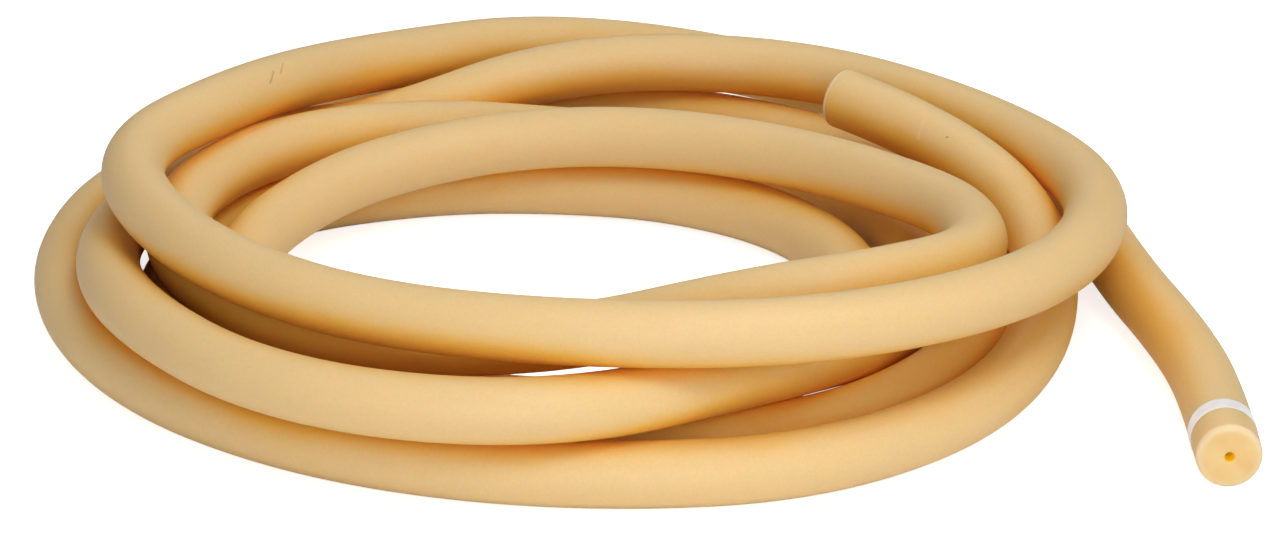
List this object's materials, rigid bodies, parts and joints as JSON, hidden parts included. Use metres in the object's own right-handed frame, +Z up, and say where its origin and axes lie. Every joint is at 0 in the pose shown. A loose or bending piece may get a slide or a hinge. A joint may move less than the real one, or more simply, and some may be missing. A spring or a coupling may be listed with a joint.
{
  "type": "rubber tubing coil",
  "caption": "Loose coil of thick-walled natural rubber tubing with a small bore, both ends cut square, one with a white marking band.",
  "frame": {"origin": "middle of the coil's outline, on the surface that it lies on", "axes": "+Z up, +X to the side where the banded free end leaves the coil, and that end's cut face looks along -Y"},
  "size_m": [0.3045, 0.2877, 0.0496],
  "materials": {
    "natural_rubber": "satin amber gum rubber",
    "white_tape": "matte white marking tape"
  },
  "bodies": {
    "root": {"rubber_tube": "natural_rubber", "marking_band": "white_tape"}
  },
  "joints": []
}
